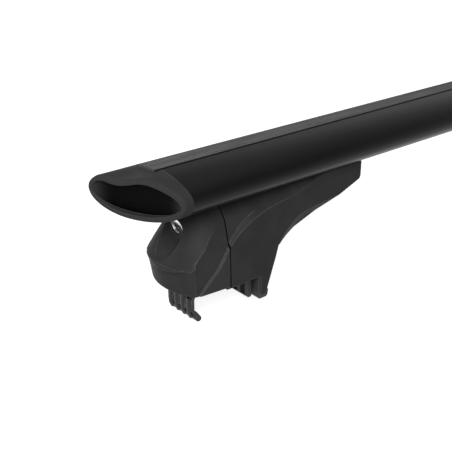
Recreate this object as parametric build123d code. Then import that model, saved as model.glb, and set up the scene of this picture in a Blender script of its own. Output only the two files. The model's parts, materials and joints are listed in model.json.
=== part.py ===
from build123d import *
from math import atan, cos, pi, radians, sin
import os

# A wing-section roof crossbar on two lockable feet that clamp a flush side rail.
# Millimetres. X runs along the bar, Y along the wing's chord (leading edge at +Y), Z up.
# Z = 0 is the lowest line of the two claws. Each foot is drawn at the left end, with
# x counted inwards from the end of the extrusion, and the right foot is its mirror image.

# Crossbar extrusion
BAR_LENGTH = 1000.0
BAR_CHORD = 77.0
BAR_RISE = 15.2          # chord line to the crest
BAR_DROP = 18.3          # chord line to the underside
BAR_CREST_Y = 4.0        # the crest lies ahead of mid-chord
BAR_UNDERSIDE_Z = 90.3
BAR_WALL = 2.0
BAR_WEB = 2.2

# Top channel and its rubber strip
STRIP_Y = 10.5
STRIP_WIDTH = 22.5
STRIP_THICKNESS = 4.0
STRIP_PROUD = 0.4
STRIP_SIDE_GAP = 0.9
STRIP_OVERHANG = 5.0     # the strip runs on past the extrusion onto the end cap
STRIP_RIBS = 9
STRIP_GROOVE_WIDTH = 0.8
STRIP_GROOVE_DEPTH = 0.3
TOP_MOUTH = 11.0
TOP_LIP = 2.5
TOP_CHANNEL_WIDTH = 21.0
TOP_CHANNEL_DEPTH = 7.0

# Lower channel that the feet bolt to
FOOT_MOUTH = 9.0
FOOT_LIP = 2.5
FOOT_CHANNEL_WIDTH = 17.0
FOOT_CHANNEL_DEPTH = 6.5

# End cap
CAP_MID_LENGTH = 22.3
CAP_SLANT = 0.39         # run of the slanted end face per millimetre of chord
CAP_RIM_WIDTH = 4.0
CAP_RIM_POINTS = 24
CAP_RIM_ROUND = 2.2
CAP_DISH_DEPTH = 6.0     # depth of the hollow in the end face, at mid-chord
CAP_DIP = 5.0            # the top sinks this far from the strip's end to the rim
CAP_DIP_HALF_WIDTH = 20.0
CAP_TOP_STEPS = 12       # points that the sunk top is drawn through
CAP_PLUG_LENGTH = 18.0

# Outer form of the foot
PARTING_X = 38.5         # the cover ends here and the body begins
COVER_BOTTOM_Z = 30.6
WALL_TOP_Z = 64.6        # the lower walls lean up to this height, then stand upright
FOOT_HALF_WIDTH = 31.5
FOOT_SIDE_LEAN = 1.2
TOE_X = -0.5
TOE_LEAN = 3.6
TOE_CORNER_LOW_X = 9.3
TOE_CORNER_HIGH_X = 0.2
TOE_TUCK = 2.6
TOE_CORNER_RADIUS = 7.0
BROW = 2.6               # the sloping face overhangs the toe below it
CREASE_Z = 51.0          # height of the brow's edge at the toe
CREASE_SLOPE = 0.67      # the edge climbs towards the body
NECK_Z = 92.1
NECK_HALF_WIDTH = 16.5
NECK_TOE_X = 17.5
HIP_SIDE_SLOPE = 0.648
HIP_TOE_SLOPE = 0.577
HIP_FLARE = 0.13
RELIEF_HALF_WIDTH = 29.0
RELIEF_LOW_LEAN = 0.02
RELIEF_LOW_FLARE = 0.06
RELIEF_LEAN = 0.25
RELIEF_COVER_FLARE = 0.015
RELIEF_BODY_FLARE = 0.1
RELIEF_Z = 61.6          # height at which the relief has that half-width
BAND_SLOPE = 0.8         # height of the bevelled band per millimetre of step
BAND = (                 # outer edge of the band on the side wall, from the toe to the wing
    (8.0, 22.0),
    (19.2, 37.3),
    (28.9, 47.2),
    (36.6, 59.1),
    (45.5, 68.2),
    (56.8, 75.5),
    (68.3, 80.0),
    (82.0, 82.6),
    (126.0, 85.5),
    (185.0, 87.0),
)

# Leg and wing of the foot body
BODY_BOTTOM_Z = 29.6
LEG_FRONT_X = 67.4
LEG_TIP_Z = 12.6
LEG_TIP_LENGTH = 6.0
LEG_BACK_FOOT = (75.4, 15.3)
LEG_BACK_KNEE = (87.0, 49.6)
WING_CORNER = (94.2, 70.8)
WING_TIP_LOW = (177.5, 80.6)
WING_END_X = 181.5
WING_TAPER = 4.0
WING_CORNER_RADIUS = 3.5
ARCH_RADIUS = 40.0
KEEL_HALF_WIDTH = 24.0
BEVEL_DROP = 10.0
BEVEL_BACKSET = 8.0
BEVEL_SPAN = 6.5

# Walls, gaps and fits
COVER_WALL = 2.5
BODY_WALL = 3.0
BODY_ROOF = 4.0
BODY_FLOOR = 4.0
CAVITY_END_X = 76.0
PARTING_GAP = 0.3
BAR_GAP = 0.3
SLIP_FIT = 0.2
PLUG_FIT = 0.25

# Claw, its sleeve and the clamp bolt
CLAW_THICKNESS = 2.5
CLAW_HALF_WIDTH = 15.0
CLAW_TOP = (26.0, 60.6)
CLAW_BEND_Z = 32.0
CLAW_FACE = (15.0, 21.5)
CLAW_KICK_Z = 10.0
CLAW_TIP_X = 20.5
CLAW_BEND_RADIUS = 5.0
CLAW_RIBS = 4
CLAW_RIB_PITCH = 7.6
CLAW_RIB_WIDTH = 5.0
CLAW_RIB_HEIGHT = 1.6
SLEEVE_RADIUS = 2.4
SLEEVE_SHARE = 0.72      # share of the kicked lip that the sleeve covers
BOLT_Z = 49.6
BOLT_DIAMETER = 8.0
BOLT_HEAD_DIAMETER = 13.0
BOLT_HEAD_HEIGHT = 8.0
BOLT_SOCKET = 6.0
BOLT_SOCKET_DEPTH = 4.5
BOLT_LENGTH = 40.0
WASHER_DIAMETER = 18.0
WASHER_THICKNESS = 1.6
NUT_SIDE = 13.0
NUT_THICKNESS = 6.5
NUT_X = 46.0

# Nose of the body inside the cover, with the catch for the lock cam
NOSE_FRONT_X = 39.5
NOSE_BACK_X = 60.0
NOSE_HALF_WIDTH = 13.0
NOSE_TOP_Z = 62.6
CATCH_FRONT_X = 27.0
CATCH_THICKNESS = 2.8
CATCH_HALF_WIDTH = 8.0
CATCH_TOP_Z = 71.1

# Rail pad
SEAT_FRONT_X = 40.0
SEAT_THICKNESS = 5.0
JAW_X = 60.0
JAW_THICKNESS = 4.3
JAW_BOTTOM_Z = 10.6
JAW_HALF_WIDTH = 25.0
JAW_EDGE = 1.0
JAW_GROOVES = 5
JAW_GROOVE_PITCH = 9.6
JAW_GROOVE_WIDTH = 5.4
JAW_GROOVE_DEPTH = 2.4
SLOT_TOP_Z = 27.6
SLOT_WIDTH = 2.0
BOOT_BOTTOM_Z = 9.4
BOOT_BACK = 1.3
BOOT_EDGE = 1.4
BOOT_HALF_WIDTH = 30.6

# Mounting plate, tee bolts and their flange nuts
PLATE_FRONT_X = 40.0
PLATE_BACK_X = 75.0
PLATE_HALF_WIDTH = 14.0
PLATE_THICKNESS = 3.0
TEE_X = (47.5, 66.0)
TEE_DIAMETER = 6.0
TEE_HEAD_LENGTH = 12.0
TEE_HEAD_WIDTH = 15.6
TEE_HEAD_HEIGHT = 4.0
TEE_TAIL = 3.0
FLANGE_NUT_AF = 10.0
FLANGE_NUT_HEIGHT = 6.0
FLANGE_DIAMETER = 13.6
FLANGE_THICKNESS = 1.2

# Key lock in the cover
LOCK_FACE_X = 12.5
LOCK_FACE_Z = 76.1
LOCK_TILT = 12.0         # the lock looks outwards and this many degrees down
LOCK_DIAMETER = 12.4
LOCK_LENGTH = 14.0
LOCK_COLLAR_DIAMETER = 14.6
LOCK_COLLAR_THICKNESS = 1.0
LOCK_BOSS_DIAMETER = 17.0
LOCK_BOSS_LENGTH = 12.0
BARREL_DIAMETER = 9.4
BARREL_RECESS = 0.6
BARREL_TAIL = 2.6
KEYWAY_WIDTH = 1.5
KEYWAY_HEIGHT = 6.4
KEYWAY_DEPTH = 8.0
SCOOP_RADIUS = 9.0
SCOOP_SLOPE = 0.45
SCOOP_REACH = 24.0
CAM_THICKNESS = 2.5
CAM_HUB_DIAMETER = 10.0
CAM_ARM_WIDTH = 8.0
CAM_REACH = 12.6
CAM_SCREW_DIAMETER = 4.0
CAM_SCREW_LENGTH = 7.0
CAM_SCREW_HEAD = (6.8, 2.2)

CHORD_Z = BAR_UNDERSIDE_Z + BAR_DROP
CREST_Z = CHORD_Z + BAR_RISE
STRIP_SEAT_Z = CREST_Z - STRIP_THICKNESS
TOP_CHANNEL_FLOOR_Z = STRIP_SEAT_Z - TOP_LIP - TOP_CHANNEL_DEPTH
FOOT_CHANNEL_Z = BAR_UNDERSIDE_Z + FOOT_LIP
FOOT_CHANNEL_ROOF_Z = FOOT_CHANNEL_Z + FOOT_CHANNEL_DEPTH
SEAT_Z = BODY_BOTTOM_Z - SEAT_THICKNESS
FLOOR_TOP_Z = BODY_BOTTOM_Z + BODY_FLOOR
ROOF_Z = BAR_UNDERSIDE_Z - BAR_GAP - BODY_ROOF
COVER_ROOF_Z = BAR_UNDERSIDE_Z - BAR_GAP - COVER_WALL
PLATE_BOTTOM_Z = ROOF_Z - PLATE_THICKNESS
FORM_TOP_Z = CHORD_Z
FAR = 400.0              # reaches past the whole foot in any direction


def block(x, y, z):
    """Box between three (low, high) pairs."""
    spans = (x, y, z)
    size = [high - low for low, high in spans]
    centre = [(high + low) / 2 for low, high in spans]
    return Pos(*centre) * Box(*size)


def section_block(y, z):
    """Rectangle in the bar's cross-section between two (low, high) pairs."""
    centre = Pos((y[0] + y[1]) / 2, (z[0] + z[1]) / 2)
    return Plane.YZ * centre * Rectangle(y[1] - y[0], z[1] - z[0])


def about(middle, half):
    return (middle - half, middle + half)


def along_x(start, plane_radius, length):
    """Cylinder that starts at a point and runs inwards along X."""
    return Plane(start, z_dir=(1, 0, 0)) * Pos(0, 0, length / 2) * Cylinder(plane_radius, length)


def upright(start, radius, height):
    """Cylinder that starts at a point and stands up from it."""
    return Pos(start[0], start[1], start[2] + height / 2) * Cylinder(radius, height)


def side_prism(outline, half_width):
    """Solid between -half_width and +half_width from an outline in the XZ plane."""
    return extrude(Plane.XZ * make_face(outline), half_width, both=True)


def wing(outset=0.0):
    """Wing section: four quarter ellipses that share the chord line and the crest."""
    centre = (BAR_CREST_Y, CHORD_Z)
    nose = BAR_CHORD / 2 - BAR_CREST_Y + outset
    tail = BAR_CHORD / 2 + BAR_CREST_Y + outset
    rise = BAR_RISE + outset
    drop = BAR_DROP + outset
    quarters = [(nose, rise), (tail, rise), (tail, drop), (nose, drop)]
    arcs = [
        EllipticalCenterArc(centre, reach, height, start_angle=90 * turn, arc_size=90)
        for turn, (reach, height) in enumerate(quarters)
    ]
    return Plane.YZ * make_face(arcs)


def hollow(fit=0.0):
    """The space inside the extrusion, less the two channels' walls and the web."""
    grow = BAR_WALL + fit
    top = section_block(
        about(STRIP_Y, TOP_CHANNEL_WIDTH / 2 + grow),
        (TOP_CHANNEL_FLOOR_Z - grow, CREST_Z),
    )
    bottom = section_block(
        about(0, FOOT_CHANNEL_WIDTH / 2 + grow),
        (BAR_UNDERSIDE_Z, FOOT_CHANNEL_ROOF_Z + grow),
    )
    web = section_block(about(BAR_CREST_Y, BAR_WEB / 2 + fit), (BAR_UNDERSIDE_Z, CREST_Z))
    return wing(-grow) - top - bottom - web


def channel(y, mouth, width, edge_z, lip_z, end_z):
    """Tee channel: a mouth between edge and lip, and a wider space behind it."""
    opening = section_block(about(y, mouth / 2), (min(edge_z, lip_z), max(edge_z, lip_z)))
    room = section_block(about(y, width / 2), (min(lip_z, end_z), max(lip_z, end_z)))
    return opening + room


def strip_bed():
    return section_block(
        about(STRIP_Y, STRIP_WIDTH / 2 + STRIP_SIDE_GAP),
        (STRIP_SEAT_Z, CREST_Z + STRIP_THICKNESS),
    )


def bar_extrusion():
    lip_z = STRIP_SEAT_Z - TOP_LIP
    top = channel(STRIP_Y, TOP_MOUTH, TOP_CHANNEL_WIDTH, STRIP_SEAT_Z, lip_z, TOP_CHANNEL_FLOOR_Z)
    below = BAR_UNDERSIDE_Z - BAR_WALL
    bottom = channel(0, FOOT_MOUTH, FOOT_CHANNEL_WIDTH, below, FOOT_CHANNEL_Z, FOOT_CHANNEL_ROOF_Z)
    section = wing() - hollow() - strip_bed() - top - bottom
    return extrude(section, BAR_LENGTH / 2, both=True)


def top_strip():
    """Ribbed rubber strip: a cap that follows the wing, and a tee foot in the channel."""
    half = STRIP_WIDTH / 2
    cap = wing(STRIP_PROUD) & section_block(
        about(STRIP_Y, half), (STRIP_SEAT_Z, CREST_Z + STRIP_THICKNESS)
    )
    pitch = STRIP_WIDTH / STRIP_RIBS
    grooved = wing(STRIP_PROUD) - wing(STRIP_PROUD - STRIP_GROOVE_DEPTH)
    for number in range(1, STRIP_RIBS):
        y = STRIP_Y - half + number * pitch
        cap -= grooved & section_block(about(y, STRIP_GROOVE_WIDTH / 2), (STRIP_SEAT_Z, FAR))
    neck_bottom = STRIP_SEAT_Z - TOP_LIP - SLIP_FIT
    neck = section_block(about(STRIP_Y, TOP_MOUTH / 2 - SLIP_FIT), (neck_bottom, STRIP_SEAT_Z))
    barb = section_block(
        about(STRIP_Y, TOP_CHANNEL_WIDTH / 2 - TOP_LIP), (neck_bottom - TOP_LIP, neck_bottom)
    )
    run = BAR_LENGTH / 2
    return extrude(cap, run + STRIP_OVERHANG, both=True) + extrude(neck + barb, run, both=True)


def rim_x(y):
    """x of the cap's slanted rim at a place along the chord."""
    return -CAP_MID_LENGTH - CAP_SLANT * y


def cap_section(x, dip):
    """Section of the cap at x: the wing, with its top sunk behind the strip."""
    nose = BAR_CHORD / 2 - BAR_CREST_Y
    tail = BAR_CHORD / 2 + BAR_CREST_Y
    points = []
    for step in range(CAP_TOP_STEPS + 1):
        turn = pi * step / CAP_TOP_STEPS
        reach = nose if cos(turn) > 0 else tail
        y = BAR_CREST_Y + reach * cos(turn)
        aside = min(abs(y - STRIP_Y) / CAP_DIP_HALF_WIDTH, 1)
        sunk = dip * cos(aside * pi / 2) ** 2
        points.append((y, CHORD_Z + BAR_RISE * sin(turn) - sunk))
    centre = (BAR_CREST_Y, CHORD_Z)
    top = Spline(points)
    low_tail = EllipticalCenterArc(centre, tail, BAR_DROP, start_angle=180, arc_size=90)
    low_nose = EllipticalCenterArc(centre, nose, BAR_DROP, start_angle=270, arc_size=90)
    return Plane.YZ.offset(x) * make_face([top, low_tail, low_nose])


def end_cap():
    """Cap with a slanted, dished end, a top that sinks behind the strip, and plugs."""
    half = BAR_CHORD / 2
    dip_at_end = CAP_DIP * BAR_CHORD / -rim_x(STRIP_Y)
    log = loft([cap_section(0, 0), cap_section(-BAR_CHORD, dip_at_end)], ruled=True)
    slant = [(rim_x(y), y) for y in (-FAR, FAR)]
    past_rim = Polyline(*slant, (-3 * FAR, FAR), (-3 * FAR, -FAR), close=True)
    bed = extrude(strip_bed(), -STRIP_OVERHANG - STRIP_SIDE_GAP)
    cap = log - extrude(make_face(past_rim), FAR) - bed
    end_face = cap.faces().filter_by(GeomType.PLANE).sort_by(Axis.X)[0]
    inner_rim = offset(end_face, -CAP_RIM_WIDTH).face().outer_wire()
    points = [inner_rim @ (i / CAP_RIM_POINTS) for i in range(CAP_RIM_POINTS)]
    well = extrude(make_face(Spline(*points, periodic=True)), BAR_CHORD / 2, both=True)
    tail = (rim_x(-half), -half)
    nose = (rim_x(half), half)
    bow = ThreePointArc(tail, (rim_x(0) + CAP_DISH_DEPTH, 0), nose)
    dish = well & extrude(make_face([bow, Line(nose, tail)]), FAR)
    rounded = fillet(end_face.edges(), CAP_RIM_ROUND)
    plug = extrude(hollow(PLUG_FIT), CAP_PLUG_LENGTH)
    return rounded - dish + plug


def wall_outline(z, inset, overhang):
    """Plan of the foot's upright walls: bowed toe, rounded corners, tapering wing."""
    share = (z - COVER_BOTTOM_Z) / (WALL_TOP_Z - COVER_BOTTOM_Z)
    half = FOOT_HALF_WIDTH - share * FOOT_SIDE_LEAN - inset
    toe = TOE_X - share * TOE_LEAN - overhang + inset
    corner_x = TOE_CORNER_LOW_X + share * (TOE_CORNER_HIGH_X - TOE_CORNER_LOW_X) + inset
    corner_y = half - TOE_TUCK
    end_y = half - WING_TAPER
    bow = ThreePointArc((corner_x, -corner_y), (toe, 0), (corner_x, corner_y))
    sides = Polyline(
        (corner_x, corner_y),
        (PARTING_X, half),
        (LEG_FRONT_X, half),
        (WING_END_X, end_y),
        (WING_END_X, -end_y),
        (LEG_FRONT_X, -half),
        (PARTING_X, -half),
        (corner_x, -corner_y),
    )
    outline = make_face([bow, sides])
    corners = outline.vertices().sort_by(Axis.X)[:2]
    return Pos(0, 0, z) * fillet(corners, TOE_CORNER_RADIUS)


def walls(inset, overhang=0.0):
    low = wall_outline(COVER_BOTTOM_Z, inset, overhang)
    high = wall_outline(WALL_TOP_Z, inset, overhang)
    skirt = extrude(low, COVER_BOTTOM_Z, dir=(0, 0, -1))
    upright_part = extrude(high, FORM_TOP_Z - WALL_TOP_Z, dir=(0, 0, 1))
    return skirt + loft([low, high], ruled=True) + upright_part


def below_crease():
    """Everything under the inclined plane that the brow's edge lies in."""
    front = -FAR
    back = FAR
    edge = [(x, CREASE_Z + (x - TOE_X) * CREASE_SLOPE) for x in (front, back)]
    return side_prism(Polyline((front, -FAR), *edge, (back, -FAR), close=True), FAR)


def hip_outline(z, inset):
    """Plan of the sloping hip: a round toe with two sides tangent to it."""
    drop = NECK_Z - z
    radius = NECK_HALF_WIDTH + drop * HIP_SIDE_SLOPE - inset / cos(atan(HIP_SIDE_SLOPE))
    toe = NECK_TOE_X - drop * HIP_TOE_SLOPE + inset / cos(atan(HIP_TOE_SLOPE))
    flare = atan(HIP_FLARE)
    tangent_x = toe + radius - radius * sin(flare)
    tangent_y = radius * cos(flare)
    end_y = tangent_y + (WING_END_X - tangent_x) * HIP_FLARE
    bow = ThreePointArc((tangent_x, -tangent_y), (toe, 0), (tangent_x, tangent_y))
    sides = Polyline(
        (tangent_x, tangent_y), (WING_END_X, end_y), (WING_END_X, -end_y), (tangent_x, -tangent_y)
    )
    return Pos(0, 0, z) * make_face([bow, sides])


def hip(inset):
    below = block((-FAR, WING_END_X), (-FAR, FAR), (0, COVER_BOTTOM_Z))
    outlines = [hip_outline(COVER_BOTTOM_Z, inset), hip_outline(FORM_TOP_Z, inset)]
    return below + loft(outlines, ruled=True)


def beyond_facet(half_width, lean, flare):
    """Everything outside a leaning side facet, on the -Y side."""
    facet = Plane((PARTING_X, -half_width, RELIEF_Z), z_dir=(-flare, -1, lean))
    return facet * Pos(0, 0, FAR / 2) * Box(2 * FAR, 2 * FAR, FAR)


def beyond_relief(inset):
    """Outside the sides: a steep facet below, and a leaning one on cover and body above."""
    half = RELIEF_HALF_WIDTH - inset
    cover_side = block((-FAR, PARTING_X), (-FAR, FAR), (0, FAR))
    body_side = block((PARTING_X, FAR), (-FAR, FAR), (0, FAR))
    low = beyond_facet(half, RELIEF_LOW_LEAN, RELIEF_LOW_FLARE)
    cover = beyond_facet(half, RELIEF_LEAN, RELIEF_COVER_FLARE) & cover_side
    body = beyond_facet(half, RELIEF_LEAN, RELIEF_BODY_FLARE) & body_side
    return (low & cover_side) + cover + body


def above_band(y):
    """Region over the band's curve, at a distance y from the middle of the foot."""
    rise = (FOOT_HALF_WIDTH - y) * BAND_SLOPE
    curve = Spline([(x, z + rise) for x, z in BAND])
    lid = Polyline(curve @ 1, (BAND[-1][0], FAR), (BAND[0][0], FAR), curve @ 0)
    return Plane.XZ.offset(y) * make_face([curve, lid])


def both_sides(part):
    return part + mirror(part, about=Plane.XZ)


def outer_form():
    """The foot's whole skin, cover and body together, before the lower outline is cut."""
    inner_y = RELIEF_HALF_WIDTH - 4 * COVER_WALL
    outer_y = FOOT_HALF_WIDTH + COVER_WALL
    over_band = loft([above_band(inner_y), above_band(outer_y)], ruled=True)
    bar_room = extrude(wing(BAR_GAP), FAR, both=True)
    brow = (walls(0, BROW) & hip(0)) - below_crease()
    above = (walls(0) & hip(0)) + brow - both_sides(beyond_relief(0) & over_band)
    flank = block((BAND[0][0], BAND[-1][0]), (-FAR, -inner_y), (0, FORM_TOP_Z))
    ledge = (walls(0) & flank) - over_band
    return above + both_sides(ledge) - bar_room


def inner_form(wall, roof_z):
    """The room inside the skin, one wall thickness in and flat under the roof."""
    room = (walls(wall) & hip(wall)) - both_sides(beyond_relief(wall))
    return room & block((-FAR, FAR), (-FAR, FAR), (0, roof_z))


def lock_plane():
    tilt = radians(LOCK_TILT)
    return Plane((LOCK_FACE_X, 0, LOCK_FACE_Z), x_dir=(0, 1, 0), z_dir=(-cos(tilt), 0, -sin(tilt)))


def on_lock_axis(radius, start, end):
    """Cylinder on the lock's axis between two distances out of the lock's face."""
    return lock_plane() * Pos(0, 0, (start + end) / 2) * Cylinder(radius, end - start)


def scoop(outset):
    """Cone round the lock that thins out down the cover's sloping face."""
    wide = SCOOP_RADIUS + SCOOP_SLOPE * SCOOP_REACH
    cone = Cone(SCOOP_RADIUS + outset, wide + outset, SCOOP_REACH + outset)
    return lock_plane() * Pos(0, 0, (SCOOP_REACH - outset) / 2) * cone


def outer_cover(form):
    """Pull-off cover: a shell open below and towards the body, with the lock's boss."""
    region = block((-FAR, PARTING_X - PARTING_GAP), (-FAR, FAR), (COVER_BOTTOM_Z, FORM_TOP_Z))
    skin = form & region
    shell = skin - inner_form(COVER_WALL, COVER_ROOF_Z)
    boss = on_lock_axis(LOCK_BOSS_DIAMETER / 2, -LOCK_BOSS_LENGTH, 0)
    backing = (scoop(COVER_WALL) + boss) & skin
    bore = on_lock_axis(LOCK_DIAMETER / 2 + SLIP_FIT, -LOCK_LENGTH, LOCK_LENGTH)
    seat = on_lock_axis(LOCK_COLLAR_DIAMETER / 2 + SLIP_FIT, -LOCK_COLLAR_THICKNESS, LOCK_LENGTH)
    return shell + backing - scoop(0) - bore - seat


def leg_line():
    """Front, tip and back of the plastic leg, which the boot wraps."""
    tip_front = LEG_FRONT_X + BOOT_EDGE
    return [
        (LEG_FRONT_X, BODY_BOTTOM_Z),
        (tip_front, LEG_TIP_Z + BOOT_EDGE),
        (tip_front + BOOT_EDGE, LEG_TIP_Z),
        (LEG_BACK_FOOT[0] - BOOT_EDGE, LEG_TIP_Z),
        LEG_BACK_FOOT,
    ]


def body_outline():
    """Lower outline of the body: floor, leg, straight keel and rounded wing tip."""
    front = PARTING_X
    lower = Polyline((front, FORM_TOP_Z), (front, BODY_BOTTOM_Z), *leg_line(), LEG_BACK_KNEE)
    tip = FilletPolyline(
        LEG_BACK_KNEE,
        (WING_END_X, WING_TIP_LOW[1]),
        (WING_END_X, FORM_TOP_Z),
        radius=WING_CORNER_RADIUS,
    )
    return [lower, tip, Line((WING_END_X, FORM_TOP_Z), (front, FORM_TOP_Z))]


def bevel_cut():
    """Oblique prism under the arch: it cuts the keel's edge back to the arched side line."""
    arch = FilletPolyline(LEG_BACK_FOOT, WING_CORNER, WING_TIP_LOW, radius=ARCH_RADIUS)
    below = Polyline(arch @ 1, (WING_TIP_LOW[0], 0), (LEG_BACK_FOOT[0], 0), arch @ 0)
    start = Pos(BEVEL_BACKSET, -KEEL_HALF_WIDTH, -BEVEL_DROP)
    sweep_by = Vector(-BEVEL_BACKSET, -BEVEL_SPAN, BEVEL_DROP) * 2
    return extrude(start * (Plane.XZ * make_face([arch, below])), sweep_by.length, dir=sweep_by)


def foot_body(form):
    """Moulded body: walls, roof and floor round an open front, the leg, and the nose."""
    body = form & side_prism(body_outline(), FAR)
    body -= both_sides(bevel_cut())
    room = inner_form(BODY_WALL, ROOF_Z)
    body -= room & block((0, CAVITY_END_X), (-FAR, FAR), (FLOOR_TOP_Z, FORM_TOP_Z))
    floor = block((SEAT_FRONT_X, LEG_FRONT_X), about(0, JAW_HALF_WIDTH), (BODY_BOTTOM_Z, FLOOR_TOP_Z))
    half = about(0, NOSE_HALF_WIDTH)
    nose = block((NOSE_FRONT_X, NOSE_BACK_X), half, (FLOOR_TOP_Z, NOSE_TOP_Z))
    catch = about(0, CATCH_HALF_WIDTH)
    lip_back = CATCH_FRONT_X + CATCH_THICKNESS
    arm = block((CATCH_FRONT_X, NOSE_BACK_X), catch, (NOSE_TOP_Z, NOSE_TOP_Z + CATCH_THICKNESS))
    lip = block((CATCH_FRONT_X, lip_back), catch, (NOSE_TOP_Z, CATCH_TOP_Z))
    bore = along_x((CATCH_FRONT_X, 0, BOLT_Z), BOLT_DIAMETER / 2 + SLIP_FIT, FAR)
    bore &= block((CATCH_FRONT_X, CAVITY_END_X), (-FAR, FAR), (0, FAR))
    pocket_half = NUT_SIDE / 2 + SLIP_FIT
    pocket = block(
        (NUT_X - SLIP_FIT, NUT_X + NUT_THICKNESS + SLIP_FIT),
        about(0, pocket_half),
        (BOLT_Z - pocket_half, NOSE_TOP_Z + CATCH_THICKNESS),
    )
    body = body + floor + nose + arm + lip - bore - pocket
    for x in TEE_X:
        body -= upright((x, 0, ROOF_Z), TEE_DIAMETER / 2 + SLIP_FIT, FAR)
    return body


def claw_path():
    """Middle line of the claw's sheet: guide, outward set, face and kicked lip."""
    return FilletPolyline(
        CLAW_TOP,
        (CLAW_TOP[0], CLAW_BEND_Z),
        CLAW_FACE,
        (CLAW_FACE[0], CLAW_KICK_Z),
        (CLAW_TIP_X, SLEEVE_RADIUS),
        radius=CLAW_BEND_RADIUS,
    )


def strip_along(line, width):
    """Face of even width along a line in the XZ plane."""
    return Plane.XZ * trace(line, width)


def lip_line(share):
    """Outer share of the kicked lip, ending at the tip."""
    tip = Vector(CLAW_TIP_X, SLEEVE_RADIUS)
    root = Vector(CLAW_FACE[0], CLAW_KICK_Z)
    return Line(tip + (root - tip) * share, tip)


def claw():
    """Bent steel claw with vertical ribs pressed out of its face."""
    sheet = extrude(strip_along(claw_path(), CLAW_THICKNESS), CLAW_HALF_WIDTH, both=True)
    rib_path = Plane.XZ * FilletPolyline(
        (CLAW_FACE[0] - CLAW_THICKNESS / 2, CLAW_FACE[1]),
        (CLAW_FACE[0] - CLAW_THICKNESS / 2, CLAW_KICK_Z - CLAW_THICKNESS / 2),
        (CLAW_TIP_X - CLAW_BEND_RADIUS, SLEEVE_RADIUS + CLAW_THICKNESS),
        radius=CLAW_BEND_RADIUS + CLAW_THICKNESS / 2,
    )
    half = CLAW_RIB_WIDTH / 2
    bead = ThreePointArc((-half, 0), (0, -CLAW_RIB_HEIGHT), (half, 0))
    profile = make_face([bead, Line((half, 0), (-half, 0))])
    start = Plane(rib_path @ 0, x_dir=(0, 1, 0), z_dir=rib_path % 0)
    rib = sweep(start * profile, path=rib_path)
    for number in range(CLAW_RIBS):
        y = (number - (CLAW_RIBS - 1) / 2) * CLAW_RIB_PITCH
        sheet += Pos(0, y, 0) * rib
    hole = along_x((0, 0, BOLT_Z), BOLT_DIAMETER / 2 + SLIP_FIT, PARTING_X)
    return sheet - hole - claw_sleeve()


def claw_sleeve():
    """Rubber sleeve round the lip, with a rounded edge."""
    lip = lip_line(SLEEVE_SHARE)
    outline = trace(lip, 2 * SLEEVE_RADIUS) + Pos(*(lip @ 1)) * Circle(SLEEVE_RADIUS)
    core = strip_along(claw_path(), CLAW_THICKNESS)
    return extrude(Plane.XZ * outline, CLAW_HALF_WIDTH, both=True) - extrude(
        core, CLAW_HALF_WIDTH, both=True
    )


def washer_x():
    return CLAW_TOP[0] - CLAW_THICKNESS / 2 - WASHER_THICKNESS


def clamp_washer():
    disc = along_x((washer_x(), 0, BOLT_Z), WASHER_DIAMETER / 2, WASHER_THICKNESS)
    hole = along_x((washer_x(), 0, BOLT_Z), BOLT_DIAMETER / 2 + SLIP_FIT, WASHER_THICKNESS)
    return disc - hole


def clamp_bolt():
    """Socket-head bolt: its head bears on the washer outside the claw."""
    face = washer_x() - BOLT_HEAD_HEIGHT
    head = along_x((face, 0, BOLT_Z), BOLT_HEAD_DIAMETER / 2, BOLT_HEAD_HEIGHT)
    shank = along_x((washer_x(), 0, BOLT_Z), BOLT_DIAMETER / 2, BOLT_LENGTH)
    hexagon = Plane((face, 0, BOLT_Z), z_dir=(1, 0, 0)) * RegularPolygon(
        BOLT_SOCKET / 2, 6, major_radius=False
    )
    return head + shank - extrude(hexagon, BOLT_SOCKET_DEPTH)


def clamp_nut():
    half = NUT_SIDE / 2
    square = block((NUT_X, NUT_X + NUT_THICKNESS), about(0, half), about(BOLT_Z, half))
    return square - along_x((NUT_X, 0, BOLT_Z), BOLT_DIAMETER / 2 + SLIP_FIT, NUT_THICKNESS)


def rail_pad():
    """Rubber pad: seat on the rail, grooved jaw, relief slot and boot on the leg's tip."""
    slot_front = JAW_X + JAW_THICKNESS
    slot_back = slot_front + SLOT_WIDTH
    seat = Polyline(
        (SEAT_FRONT_X, BODY_BOTTOM_Z),
        (LEG_FRONT_X, BODY_BOTTOM_Z),
        (LEG_FRONT_X, SLOT_TOP_Z),
        (slot_front, SLOT_TOP_Z),
        (slot_front, JAW_BOTTOM_Z + JAW_EDGE),
        (slot_front - JAW_EDGE, JAW_BOTTOM_Z),
        (JAW_X + JAW_EDGE, JAW_BOTTOM_Z),
        (JAW_X, JAW_BOTTOM_Z + JAW_EDGE),
        (JAW_X, SEAT_Z),
        (SEAT_FRONT_X, SEAT_Z),
        close=True,
    )
    boot = Polyline(
        (slot_back, BODY_BOTTOM_Z),
        *leg_line(),
        (LEG_BACK_FOOT[0] + BOOT_BACK, LEG_BACK_FOOT[1]),
        (LEG_BACK_FOOT[0] + BOOT_BACK - BOOT_EDGE / 2, BOOT_BOTTOM_Z + BOOT_EDGE),
        (LEG_BACK_FOOT[0] - BOOT_EDGE / 2, BOOT_BOTTOM_Z),
        (slot_back + BOOT_EDGE, BOOT_BOTTOM_Z),
        (slot_back, BOOT_BOTTOM_Z + BOOT_EDGE),
        close=True,
    )
    pad = side_prism(seat, JAW_HALF_WIDTH) + side_prism(boot, BOOT_HALF_WIDTH)
    for number in range(JAW_GROOVES):
        y = (number - (JAW_GROOVES - 1) / 2) * JAW_GROOVE_PITCH
        pad -= block(
            (JAW_X, JAW_X + JAW_GROOVE_DEPTH),
            about(y, JAW_GROOVE_WIDTH / 2),
            (JAW_BOTTOM_Z + 2 * JAW_EDGE, SEAT_Z - JAW_EDGE),
        )
    return pad


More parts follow.
